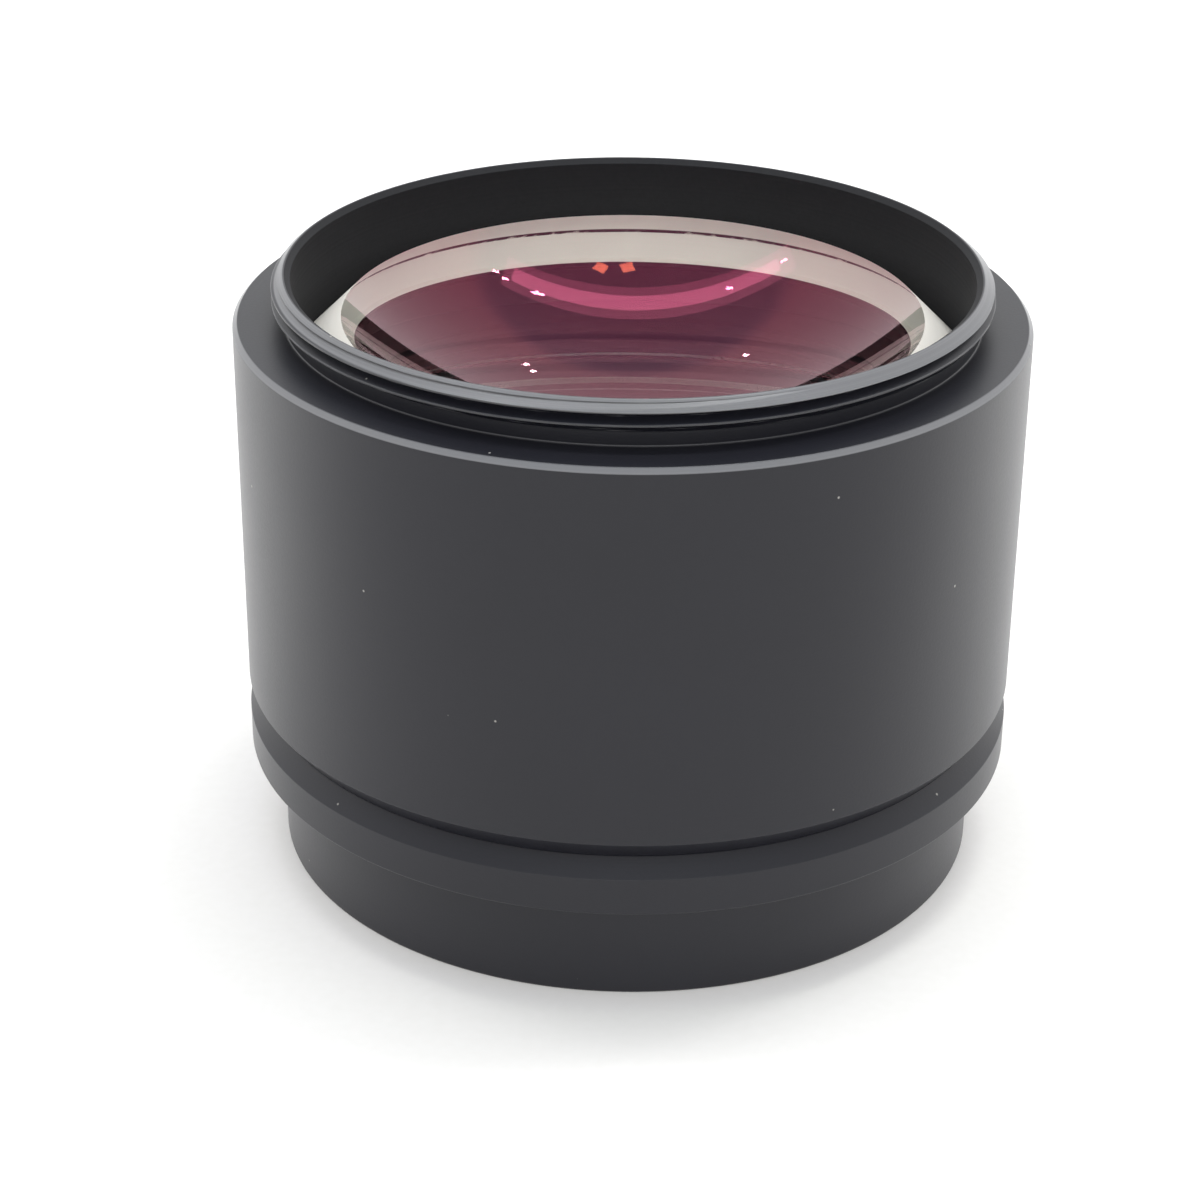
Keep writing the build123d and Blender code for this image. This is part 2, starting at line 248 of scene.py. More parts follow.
class Value:
    """A number in a material's nodes. Python's operators on it add Math nodes."""

    def __init__(self, finish, socket):
        self.finish = finish
        self.socket = socket

    def math(self, operation, *values):
        """The result of one Math node."""
        node = self.finish.node("ShaderNodeMath", {"operation": operation}, dict(enumerate(values)))
        return Value(self.finish, node.outputs[0])

    def __add__(self, other):
        return self.math("ADD", self, other)

    def __sub__(self, other):
        return self.math("SUBTRACT", self, other)

    def __rsub__(self, other):
        return self.math("SUBTRACT", other, self)

    def __mul__(self, other):
        return self.math("MULTIPLY", self, other)

    def __pow__(self, other):
        return self.math("POWER", self, other)

    __radd__ = __add__
    __rmul__ = __mul__

    def ramp(self, low, high):
        """0 below low, 1 above high and a smooth step between them; low may be the larger one."""
        node = self.finish.node("ShaderNodeMapRange", {"interpolation_type": "SMOOTHSTEP"},
                                {"Value": self, "From Min": low, "From Max": high})
        return Value(self.finish, node.outputs["Result"])

    def ramp_mm(self, low, high):
        """The same ramp between two lengths in mm."""
        return self.ramp(low * MM, high * MM)


class Finish:
    """A material, or the world, made of nodes."""

    def __init__(self, owner):
        self.owner = owner
        owner.use_nodes = True
        self.tree = owner.node_tree
        self.tree.nodes.clear()

    def node(self, kind, settings=None, sockets=None):
        """Any node: its settings first, then the values or links of its sockets."""
        node = self.tree.nodes.new(kind)
        for key, value in (settings or {}).items():
            setattr(node, key, value)
        for key, value in (sockets or {}).items():
            source = getattr(value, "socket", value)
            if isinstance(source, bpy.types.NodeSocket):
                self.tree.links.new(source, node.inputs[key])
            else:
                node.inputs[key].default_value = value
        return node

    def value(self, kind, output, settings=None, sockets=None):
        """One output of a new node, as a number."""
        return Value(self, self.node(kind, settings, sockets).outputs[output])

    def place(self):
        """Object coordinates, with the distance from the axis and the height as numbers."""
        point = self.node("ShaderNodeTexCoord").outputs["Object"]
        split = self.node("ShaderNodeSeparateXYZ", None, {0: point})
        x, y, z = (Value(self, split.outputs[i]) for i in range(3))
        return point, (x * x + y * y) ** 0.5, z

    def noise(self, point, scale, detail=2.0):
        """Cloudy noise between 0 and 1, with so many grains a metre."""
        return self.value("ShaderNodeTexNoise", "Fac", None,
                          {"Vector": point, "Scale": scale, "Detail": detail})

    def section(self, radius, height):
        """Point of the half section. A pattern on it runs round the piece, as turning lines do."""
        return self.node("ShaderNodeCombineXYZ", None, {0: radius, 1: height}).outputs[0]

    def colour_mix(self, factor, first, second):
        """Colour between two colours, each one a socket or three numbers."""
        first, second = (colour if isinstance(colour, bpy.types.NodeSocket) else (*colour, 1.0)
                         for colour in (first, second))
        node = self.node("ShaderNodeMix", {"data_type": "RGBA"}, {0: factor, 6: first, 7: second})
        return node.outputs[2]

    def bump(self, height, distance):
        """Normal of a surface with that relief; distance is its full height in metres."""
        node = self.node("ShaderNodeBump", None,
                         {"Height": height, "Distance": distance, "Strength": 1.0})
        return node.outputs["Normal"]

    def specks(self, point, cell, size, share):
        """1 on a few small round grains of dust, 0 elsewhere: a share of the cells holds a grain."""
        node = self.node("ShaderNodeTexVoronoi", None, {"Vector": point, "Scale": 1 / cell})
        near = Value(self, node.outputs["Distance"]).ramp(size / cell, 0.5 * size / cell)
        pick = self.value("ShaderNodeSeparateColor", 0, None, {0: node.outputs["Color"]})
        return near * pick.ramp(1 - share, 1 - share + 0.01)

    def show(self, shader):
        """Put the shader on the surface, or round the scene, and give the finished owner back."""
        kind = "World" if isinstance(self.owner, bpy.types.World) else "Material"
        self.node("ShaderNodeOutput" + kind, None, {"Surface": shader})
        return self.owner


def new_finish(name):
    """An empty material of that name."""
    return Finish(bpy.data.materials.new(name))


# Colours that no setting changes
WHITE = (1.0, 1.0, 1.0, 1.0)
# Pale grey of worn edges, which also serves as their painted highlight
WORN_METAL_AND_HIGHLIGHT = (0.15, 0.15, 0.155)
DUST = (0.32, 0.31, 0.29)
DUST_INSIDE = (0.25, 0.24, 0.23)
DARK_LINE = (0.02, 0.02, 0.02)
STEEL_TONES = ((0.42, 0.41, 0.4), (0.58, 0.57, 0.55))
RUBBER_TONES = ((0.012, 0.012, 0.012), (0.03, 0.03, 0.029))


def satin_anodising(settings):
    """Satin black anodising over a fine turned and blasted surface, with pale edges that are partly
    worn and partly a painted highlight, and dust.
    """
    finish = new_finish("satin_anodising")
    point, radius, height = finish.place()
    section = finish.section(radius, height)
    turning = finish.noise(section, 5200.0, 3.0)
    grain = finish.noise(point, 3400.0, 4.0)
    cloud = finish.noise(point, 55.0, 3.0)
    dust = finish.specks(point, 0.0036, 0.00016, 0.3)
    # Pale edges, partly worn and partly a painted highlight: the shoulder's chamfer, the neck's end and
    # the thread's crests, and a painted light line in the corner at the neck's foot
    outer = radius.ramp_mm(BARREL_R - 0.5, BARREL_R - 0.35)
    chamfer = outer * height.ramp_mm(SHOULDER_Z - 0.5, SHOULDER_Z - 0.42)
    crown = (height.ramp_mm(THREAD_TOP_Z - 0.1, THREAD_TOP_Z)
             * radius.ramp_mm(RELIEF_R - 0.08, RELIEF_R + 0.02))
    crest = (radius.ramp_mm(THREAD_R - 0.1, THREAD_R - 0.02)
             * radius.ramp_mm(THREAD_R + 0.2, THREAD_R + 0.1)
             * height.ramp_mm(SHOULDER_Z + 0.3, SHOULDER_Z + 0.5))
    foot = (radius.ramp_mm(RELIEF_R + 0.25, RELIEF_R + 0.1)
            * height.ramp_mm(SHOULDER_Z - 0.1, SHOULDER_Z + 0.01)
            * height.ramp_mm(SHOULDER_Z + 0.15, SHOULDER_Z + 0.05))
    wear_and_highlight = chamfer * 0.95 + crown * 0.85 + crest * 0.3 + foot * 0.3
    tone = settings.outside
    light = tuple(c * 1.5 + 0.002 for c in tone)
    colour = finish.colour_mix(cloud * 0.7 + grain * 0.3, tone, light)
    # The pale edges get their wear and their painted highlight here
    colour = finish.colour_mix(wear_and_highlight * (0.6 + turning * 0.8), colour, WORN_METAL_AND_HIGHLIGHT)
    colour = finish.colour_mix(dust, colour, DUST)
    rough = settings.outside_roughness - 0.05 + cloud * 0.06 + grain * 0.06 - wear_and_highlight * 0.1 + dust * 0.3
    normal = finish.bump(grain * 0.6 + turning * 0.4 + dust * 4.0, 0.000012)
    shader = finish.node("ShaderNodeBsdfPrincipled", None, {
        "Base Color": colour, "Roughness": rough, "Normal": normal, "IOR": 1.44, "Anisotropic": 0.2})
    return finish.show(shader.outputs[0])


def matt_anodising(name, tone, level):
    """Matt black anodising of bores, rings, cells and spacers, with fine turning lines."""
    finish = new_finish(name)
    point, radius, height = finish.place()
    section = finish.section(radius, height)
    turning = finish.noise(section, 4200.0, 2.0)
    grain = finish.noise(point, 2600.0, 3.0)
    dust = finish.specks(point, 0.005, 0.00012, 0.12)
    colour = finish.colour_mix(grain, tone, tuple(c * 2.0 for c in tone))
    colour = finish.colour_mix(dust, colour, DUST_INSIDE)
    rough = 0.62 + turning * 0.14
    normal = finish.bump(turning * 0.5 + grain * 0.5, 0.000015)
    shader = finish.node("ShaderNodeBsdfPrincipled", None, {
        "Base Color": colour, "Roughness": rough, "Normal": normal, "IOR": 1.45,
        "Specular IOR Level": level})
    return finish.show(shader.outputs[0])


def polished_glass(name, index, tint, dusty):
    """Polished and coated glass, which lets lamps through. A little dust dulls it in small spots."""
    finish = new_finish(name)
    point, _, _ = finish.place()
    dust = finish.specks(point, 0.006, 0.00012, dusty)
    glass = finish.node("ShaderNodeBsdfPrincipled", None, {
        "Base Color": WHITE, "Roughness": dust * 0.6, "IOR": index,
        "Transmission Weight": 1.0, "Specular Tint": (*tint, 1.0)})
    clear = finish.node("ShaderNodeBsdfTransparent")
    shadow = finish.node("ShaderNodeLightPath").outputs["Is Shadow Ray"]
    shader = finish.node("ShaderNodeMixShader", None, {
        0: shadow, 1: glass.outputs[0], 2: clear.outputs[0]})
    return finish.show(shader.outputs[0])


def cemented_face():
    """The cemented face between two lenses: light goes straight through it."""
    finish = new_finish("cemented_face")
    shader = finish.node("ShaderNodeBsdfPrincipled", None, {
        "Base Color": WHITE, "Roughness": 0.0, "IOR": 1.0,
        "Transmission Weight": 1.0, "Specular IOR Level": 0.0})
    return finish.show(shader.outputs[0])


def ground_glass(settings):
    """Ground glass of bevels and edges, cream, with a fine even grain."""
    finish = new_finish("ground_glass")
    point, radius, height = finish.place()
    section = finish.section(radius, height)
    grain = finish.noise(point, 6500.0, 3.0)
    cloud = finish.noise(point, 60.0, 2.0)
    rings = finish.noise(section, 1500.0, 2.0)
    tone = settings.ground
    colour = finish.colour_mix(grain * 0.3 + cloud * 0.4 + rings * 0.3,
                               tuple(c * 0.9 for c in tone), tuple(c * 1.1 for c in tone))
    # The dark line where the bevel meets the corner of the neck's bore: full within 0.05 mm of the
    # corner's radius and gone at 0.09 mm
    middle = radius - NECK_BORE_R * MM
    line = (middle * middle).ramp((0.09 * MM) ** 2, (0.05 * MM) ** 2) * height.ramp_mm(45.5, 46.0)
    colour = finish.colour_mix(line * 0.85, colour, DARK_LINE)
    normal = finish.bump(grain, 0.00001)
    shader = finish.node("ShaderNodeBsdfPrincipled", None, {
        "Base Color": colour, "Roughness": 0.55 + grain * 0.15, "Normal": normal, "IOR": 1.5})
    return finish.show(shader.outputs[0])


def shim_steel():
    """Bright rolled steel with fine scratches."""
    finish = new_finish("shim_steel")
    point, _, _ = finish.place()
    grain = finish.noise(point, 1800.0, 4.0)
    colour = finish.colour_mix(grain, *STEEL_TONES)
    shader = finish.node("ShaderNodeBsdfPrincipled", None, {
        "Base Color": colour, "Roughness": 0.22 + grain * 0.16, "Metallic": 1.0,
        "Normal": finish.bump(grain, 0.000006)})
    return finish.show(shader.outputs[0])


def black_rubber():
    """Dull black rubber with a slight bloom."""
    finish = new_finish("black_rubber")
    point, _, _ = finish.place()
    grain = finish.noise(point, 2400.0, 3.0)
    bloom = finish.noise(point, 160.0, 2.0)
    colour = finish.colour_mix(bloom, *RUBBER_TONES)
    shader = finish.node("ShaderNodeBsdfPrincipled", None, {
        "Base Color": colour, "Roughness": 0.6 + grain * 0.2, "Normal": finish.bump(grain, 0.00002)})
    return finish.show(shader.outputs[0])


FINISHES = {}


def finish_named(name):
    """The material of that name, made on its first use."""
    if name not in FINISHES:
        settings = bpy.context.scene.objective_finishes
        makers = {
            "satin_anodising": lambda: satin_anodising(settings),
            "matt_anodising": lambda: matt_anodising("matt_anodising", settings.inside, 0.3),
            "stack_black": lambda: matt_anodising("stack_black", settings.stack, 0.03),
            "rear_glass": lambda: polished_glass(
                "rear_glass", settings.rear_index, settings.coating, 0.1),
            "inner_glass": lambda: polished_glass(
                "inner_glass", settings.inner_index, settings.coating, 0.05),
            "cemented_face": cemented_face,
            "ground_glass": lambda: ground_glass(settings),
            "shim_steel": shim_steel,
            "black_rubber": black_rubber,
        }
        FINISHES[name] = makers[name]()
    return FINISHES[name]


def rounded(corners):
    """Closed half section from corners (radius, height, rounding, longest step after it).

    A corner becomes an arc that touches both of its sides: it starts and ends the rounding times the
    tangent of half the turn away from the corner. Each straight side gets a point close to its ends,
    so that its shading stays flat, and is divided into steps.
    """
    edge = bpy.context.scene.objective_sizes.edge_rounding / MM
    full = [tuple(c) + (edge, LONGEST_STEP)[len(c) - 2:] for c in corners]
    point = np.array([c[:2] for c in full])
    back = np.roll(point, 1, 0) - point
    ahead = np.roll(point, -1, 0) - point
    length = np.linalg.norm(ahead, axis=1)
    room = ARC_SHARE * np.minimum(length, np.roll(length, 1))
    back /= np.linalg.norm(back, axis=1)[:, None]
    ahead /= length[:, None]
    turn = np.arccos(np.clip(-(back * ahead).sum(1), -1, 1))
    reach = np.minimum(np.array([c[2] for c in full]) * np.tan(turn / 2), room)
    start = point + back * reach[:, None]
    end = point + ahead * reach[:, None]
    parts = []
    for i, (_, _, rounding, step) in enumerate(full):
        if reach[i] > TINY:
            radius = reach[i] / tan(turn[i] / 2)
            middle = back[i] + ahead[i]
            centre = point[i] + middle / np.linalg.norm(middle) * sqrt(radius**2 + reach[i]**2)
            t = np.linspace(0, 1, int(turn[i] / ARC_STEP) + 3)[:, None]
            arm = (np.sin((1 - t) * turn[i]) * (start[i] - centre)
                   + np.sin(t * turn[i]) * (end[i] - centre)) / np.sin(turn[i])
            parts.append(centre + arm)
        else:
            parts.append(point[i:i + 1])
        goal = start[(i + 1) % len(full)]
        span = np.linalg.norm(goal - end[i])
        if span > 3 * SUPPORT:
            inner = np.linspace(SUPPORT, span - SUPPORT, int(span / step) + 2) / span
            parts.append(end[i] + (goal - end[i]) * inner[:, None])
    return np.concatenate(parts)


def put_mesh(name, points, quads, triangles, quad_finish, triangle_finish, finishes):
    """A mesh object at the origin from arrays of points, quads, triangles and their finishes."""
    mesh = bpy.data.meshes.new(name)
    corners = np.concatenate([quads.ravel(), triangles.ravel()]).astype(np.int32)
    starts = np.concatenate([np.arange(len(quads)) * 4,
                             len(quads) * 4 + np.arange(len(triangles)) * 3]).astype(np.int32)
    mesh.vertices.add(len(points))
    mesh.vertices.foreach_set("co", (points * MM).astype(np.float32).ravel())
    mesh.loops.add(len(corners))
    mesh.loops.foreach_set("vertex_index", corners)
    mesh.polygons.add(len(starts))
    mesh.polygons.foreach_set("loop_start", starts)
    mesh.polygons.foreach_set(
        "material_index", np.concatenate([quad_finish, triangle_finish]).astype(np.int32))
    for finish in finishes:
        mesh.materials.append(finish_named(finish))
    mesh.update(calc_edges=True)
    if mesh.validate():
        raise RuntimeError(name + " has faulty faces")
    mesh.shade_smooth()
    mesh.set_sharp_from_angle(angle=SMOOTH_ANGLE)
    piece = bpy.data.objects.new(name, mesh)
    bpy.context.scene.collection.objects.link(piece)
    return piece


def turned(name, section, finishes, row_finish=None, swell=None, segments=SEGMENTS):
    """A piece turned about the axis from its half section, which runs anticlockwise.

    row_finish gives each row the number of its finish, and swell changes the radii before turning.
    Point (i, j) stands at the angle a = 2 pi j / segments: (r cos a, r sin a, z), with r and z those of
    the section's point i. A section that starts and ends on the axis gets one point for each pole.
    """
    poles = section[0, 0] < TINY
    rows = section[1:-1] if poles else section
    count = len(rows)
    angle = 2 * pi * np.arange(segments) / segments
    r = np.repeat(rows[:, :1], segments, 1)
    z = np.repeat(rows[:, 1:], segments, 1)
    if swell:
        r = swell(r, z, angle[None, :])
    points = np.stack([r * np.cos(angle), r * np.sin(angle), z], 2).reshape(-1, 3)
    row = np.arange(count - 1 if poles else count)[:, None]
    column = np.arange(segments)[None, :]
    above = (row + 1) % count
    right = (column + 1) % segments
    quads = np.stack([row * segments + column, row * segments + right,
                      above * segments + right, above * segments + column], 2).reshape(-1, 4)
    marks = np.zeros(len(section), int) if row_finish is None else np.asarray(row_finish)
    if not poles:
        return put_mesh(name, points, quads, np.zeros((0, 3), int),
                        np.repeat(marks, segments), np.zeros(0, int), finishes)
    low, high = count * segments, count * segments + 1
    points = np.concatenate([points, [[0, 0, section[0, 1]], [0, 0, section[-1, 1]]]])
    column, right = column[0], right[0]
    top = (count - 1) * segments
    triangles = np.concatenate([
        np.stack([np.full(segments, low), right, column], 1),
        np.stack([np.full(segments, high), top + column, top + right], 1)])
    ends = np.repeat([marks[0], marks[count]], segments)
    return put_mesh(name, points, quads, triangles, np.repeat(marks[1:count], segments), ends, finishes)


def stand_in(piece, node):
    """The piece rides on the body and stands for the CAD node, which it hides."""
    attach(piece, BODY)
    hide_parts(node)


def thread_swell(r, z, angle):
    """Radius of the neck's outside, with the mounting thread cut into it.

    The ridge's distance u from its middle, in pitches, is height over pitch less angle over 2 pi, less
    the nearest whole number. The radius grows from the root with the flank's slope, is cut off at
    the crest, and stays inside the lead-in above and the run-out below.
    """
    sizes = bpy.context.scene.objective_sizes
    pitch, depth = sizes.thread_pitch / MM, sizes.thread_depth / MM
    crest_at_front = 53.93
    crest_width = 0.16
    front = -pi / 2
    flank_slope = sqrt(3)
    run_out_slope = 2
    u = (z - crest_at_front) / pitch - (angle - front) / (2 * pi)
    away = np.abs(u - np.round(u)) * pitch
    ridge = THREAD_R - np.clip((away - crest_width / 2) * flank_slope, 0, depth)
    slope = (THREAD_R - RELIEF_R) / THREAD_LEAD_IN
    lead_in = RELIEF_R + (TOP_Z - z) * slope
    run_out = RELIEF_R + (z - (THREAD_END_Z - THREAD_RUN_OUT)) * run_out_slope
    swollen = np.maximum(np.minimum(np.minimum(ridge, lead_in), run_out), RELIEF_R)
    # Only the neck's straight wall swells, clear of the rounding at its foot
    wall = (np.abs(r - RELIEF_R) < TINY) & (z > SHOULDER_Z + 0.5)
    return np.where(wall, swollen, r)


def bevel_z(r):
    """Height of the rear lens's 45 degree bevel, and of the barrel's seat for it."""
    return GLASS_EDGE_Z - (r - REAR_GLASS_R)


class OBJECTIVE_OT_barrel(bpy.types.Operator):
    """Turn the barrel with its shoulder and its threaded neck"""

    bl_idname = "objective.barrel"
    bl_label = "Barrel"

    def execute(self, context):
        section = rounded([
            (STACK_BORE_R, TAIL_Z), (TAIL_R, TAIL_Z), (TAIL_R, JOINT_Z, 0.0), (GROOVE_R, JOINT_Z),
            (BARREL_R, GROOVE_TOP_Z, 0.15), (BARREL_R, SHOULDER_Z - SHOULDER_CHAMFER, 0.14),
            (BARREL_R - SHOULDER_CHAMFER, SHOULDER_Z, 0.14), (RELIEF_R, SHOULDER_Z, 0.12, ROW_HEIGHT),
            (RELIEF_R, TOP_Z, 0.02), (NECK_BORE_R + MOUTH_BEVEL_WIDTH, TOP_Z, SHARP),
            (NECK_BORE_R, TOP_Z - MOUTH_BEVEL_DEPTH, CRISP), (NECK_BORE_R, bevel_z(NECK_BORE_R), CRISP),
            (STACK_BORE_R, bevel_z(STACK_BORE_R)),
        ])
        # The matt finish covers the neck's bore and mouth, and the barrel's bore below the lens seat
        r, z = section.T
        neck_bore = r < NECK_BORE_R + 0.08
        mouth = (r < NECK_BORE_R + MOUTH_BEVEL_WIDTH - 0.04) & (z > SHOULDER_Z)
        stack_bore = (z < bevel_z(NECK_BORE_R) + 0.02) & (r < STACK_BORE_R + 0.05)
        inside = neck_bore | mouth | stack_bore
        piece = turned("barrel_body", section, ["satin_anodising", "matt_anodising"],
                       inside.astype(int), thread_swell)
        stand_in(piece, "outer_barrel")
        return {"FINISHED"}


class OBJECTIVE_OT_front_ring(bpy.types.Operator):
    """Turn the front ring with its rim and its seat for a ring light"""

    bl_idname = "objective.front_ring"
    bl_label = "Front ring"

    def execute(self, context):
        bore = TAIL_R + FIT
        section = rounded([
            (SEAT_BORE_R, 0.0, 0.2), (SEAT_R, 0.0, 0.3), (SEAT_R, SEAT_LENGTH, 0.1),
            (BARREL_R, SEAT_LENGTH, 0.2), (BARREL_R, GROOVE_FOOT_Z, 0.12), (GROOVE_R, JOINT_Z, 0.08),
            (bore, JOINT_Z), (bore, TAIL_Z - FIT), (SEAT_BORE_R, TAIL_Z - FIT),
        ])
        r, z = section.T
        inside = (r < SEAT_BORE_R + 0.1) & (z > 0.3)
        piece = turned("front_ring_body", section, ["satin_anodising", "matt_anodising"],
                       inside.astype(int))
        stand_in(piece, "front_ring")
        return {"FINISHED"}


def lens_piece(name, node, glass, top, bottom, r_top, edge, r_bottom, faces):
    """A lens between two spheres, turned from three curves: bottom outwards, edge up, top inwards.

    glass names its finishes, and faces gives the number of the one for the bottom, edge and top.
    """
    low = bottom.arc(0, r_bottom, LENS_STEPS)
    rim = np.array(edge)
    high = top.arc(r_top, 0, LENS_STEPS)
    section = np.concatenate([low, rim, high])
    marks = np.concatenate([np.full(len(low) - 1, faces[0]), np.full(len(rim) + 1, faces[1]),
                            np.full(len(high), faces[2])])
    stand_in(turned(name, section, glass, marks), node)


class OBJECTIVE_OT_lenses(bpy.types.Operator):
    """Grind the five lenses: the thick rear one and two cemented pairs"""

    bl_idname = "objective.lenses"
    bl_label = "Lenses"

    def execute(self, context):
        inner = ["inner_glass", "ground_glass", "cemented_face"]
        lens_piece(
            "rear_lens_glass", "rear_lens", ["rear_glass", "ground_glass"],
            rear_top, rear_bottom, REAR_GLASS_R,
            [(STACK_R, rear_bottom.height(REAR_FOOT_R) + LENS_BEVEL), (STACK_R, bevel_z(STACK_R))],
            REAR_FOOT_R, (0, 1, 0))
        for crown, flint, top, cement, bottom, r, names in (
            ("middle_crown_glass", "middle_flint_glass", middle_top, middle_cement, middle_bottom,
             MIDDLE_LENS_R, ("middle_crown_lens", "middle_flint_lens", "optical_glass")),
            ("front_crown_glass", "front_flint_glass", front_top, front_cement, front_bottom,
             FRONT_LENS_R, ("front_crown_lens", "front_flint_lens", "coated_glass")),
        ):
            inset = r - LENS_BEVEL
            lens_piece(crown, names[0], inner, top, cement, inset,
                       [(r, top.height(inset) - LENS_BEVEL)], r, (2, 1, 0))
            lens_piece(flint, names[1], inner, cement, bottom, r,
                       [(r, bottom.height(inset) + LENS_BEVEL)], inset, (0, 1, 2))
        return {"FINISHED"}


def saw_tooth(r_wall, z_low, z_high):
    """Corners of the saw-tooth grooves of an inner wall, listed downwards.

    Each tooth starts on the wall, is at its deepest half a pitch higher and ends on the wall again.
    """
    count = int((z_high - z_low) / GROOVE_PITCH)
    first = (z_low + z_high - count * GROOVE_PITCH) / 2
    tooth = first + GROOVE_PITCH * np.arange(count)
    corners = np.stack([np.full(count, r_wall), tooth,
                        np.full(count, r_wall + GROOVE_DEPTH), tooth + GROOVE_PITCH / 2], 1)
    corners = corners.reshape(-1, 2).tolist() + [[r_wall, first + count * GROOVE_PITCH]]
    return [(r, z, TOOTH_ROUNDING) for r, z in corners[::-1]]


class OBJECTIVE_OT_spacers(bpy.types.Operator):
    """Turn the grooved spacers and the two cells"""

    bl_idname = "objective.spacers"
    bl_label = "Spacers and cells"

    def execute(self, context):
        boxes = {node: [c.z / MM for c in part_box(node)]
                 for node in ("rear_spacer", "middle_spacer", "middle_cell", "front_cell")}
        low, high = boxes["rear_spacer"]
        self.turn("rear_spacer", [
            (STACK_R, low), (STACK_R, high), (REAR_SEAT_R, high, CRISP),
            *saw_tooth(SPACER_WALL_R, low + EDGE_BREAK, high - PLAIN_CONE_HEIGHT),
            (SPACER_WALL_R, low)])
        low, high = boxes["middle_spacer"]
        floor = high - RUBBER_GROOVE_DEPTH
        self.turn("middle_spacer", [
            (STACK_R, low), (STACK_R, high), (RUBBER_GROOVE_OUT_R, high), (RUBBER_GROOVE_OUT_R, floor),
            (RUBBER_GROOVE_IN_R, floor), (RUBBER_GROOVE_IN_R, high), (MIDDLE_WALL_R, high),
            *saw_tooth(MIDDLE_WALL_R, low + EDGE_BREAK, high - EDGE_BREAK), (MIDDLE_WALL_R, low)])
        low, high = boxes["middle_cell"]
        lip = MIDDLE_BORE_R - LIP_WIDTH
        seat = middle_bottom.height(lip)
        ledge = middle_top.height(MIDDLE_LENS_R) - LENS_BEVEL
        thread = MIDDLE_BORE_R + RETAINER_THREAD_STEP
        waist = STACK_R - CELL_RELIEF
        self.turn("middle_cell", [
            (lip, low), (STACK_R, low), (STACK_R, low + GUIDE_HEIGHT), (waist, low + GUIDE_HEIGHT),
            (waist, high - GUIDE_HEIGHT), (STACK_R, high - GUIDE_HEIGHT), (STACK_R, high),
            (thread, high), (thread, ledge, SHARP), (MIDDLE_BORE_R, ledge, SHARP),
            (MIDDLE_BORE_R, seat, SHARP), (lip, seat, SHARP)])
        low, high = boxes["front_cell"]
        lip = FRONT_BORE_R - LIP_WIDTH
        seat = front_bottom.height(lip)
        ledge = front_top.height(FRONT_LENS_R) - LENS_BEVEL
        thread = FRONT_BORE_R + RETAINER_THREAD_STEP
        self.turn("front_cell", [
            (lip, low + LIP_FLARE), (lip + LIP_FLARE, low), (FRONT_CELL_R, low, EDGE_BREAK),
            (FRONT_CELL_R, LOCK_RING_TOP_Z, SHARP), (STACK_R, LOCK_RING_TOP_Z), (STACK_R, high),
            (thread, high), (thread, ledge, SHARP), (FRONT_BORE_R, ledge, SHARP),
            (FRONT_BORE_R, seat, SHARP), (lip, seat, CRISP)])
        return {"FINISHED"}

    def turn(self, node, corners):
        """Turn one dull black ring that stands for the node of the same name."""
        piece = turned(node + "_body", rounded(corners), ["stack_black"], segments=CELL_SEGMENTS)
        stand_in(piece, node)


class OBJECTIVE_OT_kept_pieces(bpy.types.Operator):
    """Give the pieces that keep their CAD shape their finishes"""

    bl_idname = "objective.kept_pieces"
    bl_label = "Rings, shim and seals"

    def execute(self, context):
        finishes = {
            "middle_retaining_ring": "matt_anodising", "front_retaining_ring": "matt_anodising",
            "light_baffle": "matt_anodising", "lock_ring": "matt_anodising",
            "parfocal_shim": "shim_steel", "stack_rubber_ring": "black_rubber",
            "joint_rubber_ring": "black_rubber",
        }
        for node, finish in finishes.items():
            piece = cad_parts[node]
            for slot in piece.material_slots:
                slot.material = finish_named(finish)
        return {"FINISHED"}


def area_lamp(name, place, aim, size, power, colour=(1.0, 1.0, 1.0)):
    """A soft rectangular lamp at a place, facing a point."""
    lamp = bpy.data.lights.new(name, "AREA")
    lamp.shape = "RECTANGLE"
    lamp.size, lamp.size_y = size
    lamp.energy = power
    lamp.color = colour
    holder = bpy.data.objects.new(name, lamp)
    bpy.context.scene.collection.objects.link(holder)
    holder.location = place
    holder.rotation_euler = (Vector(aim) - Vector(place)).to_track_quat("-Z", "Y").to_euler()


# Height of the ceiling, and the point that the small lamps and the near lamp face, in metres
CEILING_Z = 1.0
LAMP_AIM = (0.0, 0.0, 0.05)

# Long lamps of the ceiling: name, middle and size in metres, share of the power
CEILING_LAMPS = (
    ("ceiling_lamp", -0.07, 0.145, (1.12, 0.09), 0.62),
    ("ceiling_lamp_glow", -0.09, 0.15, (1.25, 0.2), 0.42),
    ("ceiling_lamp_left", 0.25, 0.165, (0.26, 0.08), 0.85),
    ("ceiling_lamp_right", -0.27, 0.15, (0.2, 0.08), 0.4),
)
# Places and sizes in metres of the ceiling's small white lamps and of its two yellow-green ones
CEILING_SPOTS = ((0.5715, 0.186), (0.517, 0.199), (0.375, 0.199), (0.35, 0.195), (-0.375, 0.151),
                 (-0.66, 0.14), (0.377, 0.889), (0.35, 0.95), (-0.408, 0.767))
SPOT_SIZE = (0.016, 0.03)
WARM_SPOTS = ((0.13, -0.053), (0.023, -0.066))
WARM_SPOT_SIZE = (0.05, 0.05)
WARM_SPOT_COLOUR = (0.8, 1.0, 0.25)

# The soft lamp above and behind the camera
NEAR_LAMP_PLACE = (0.0, -1.0, 0.5)
NEAR_LAMP_SIZE = (1.4, 0.35)

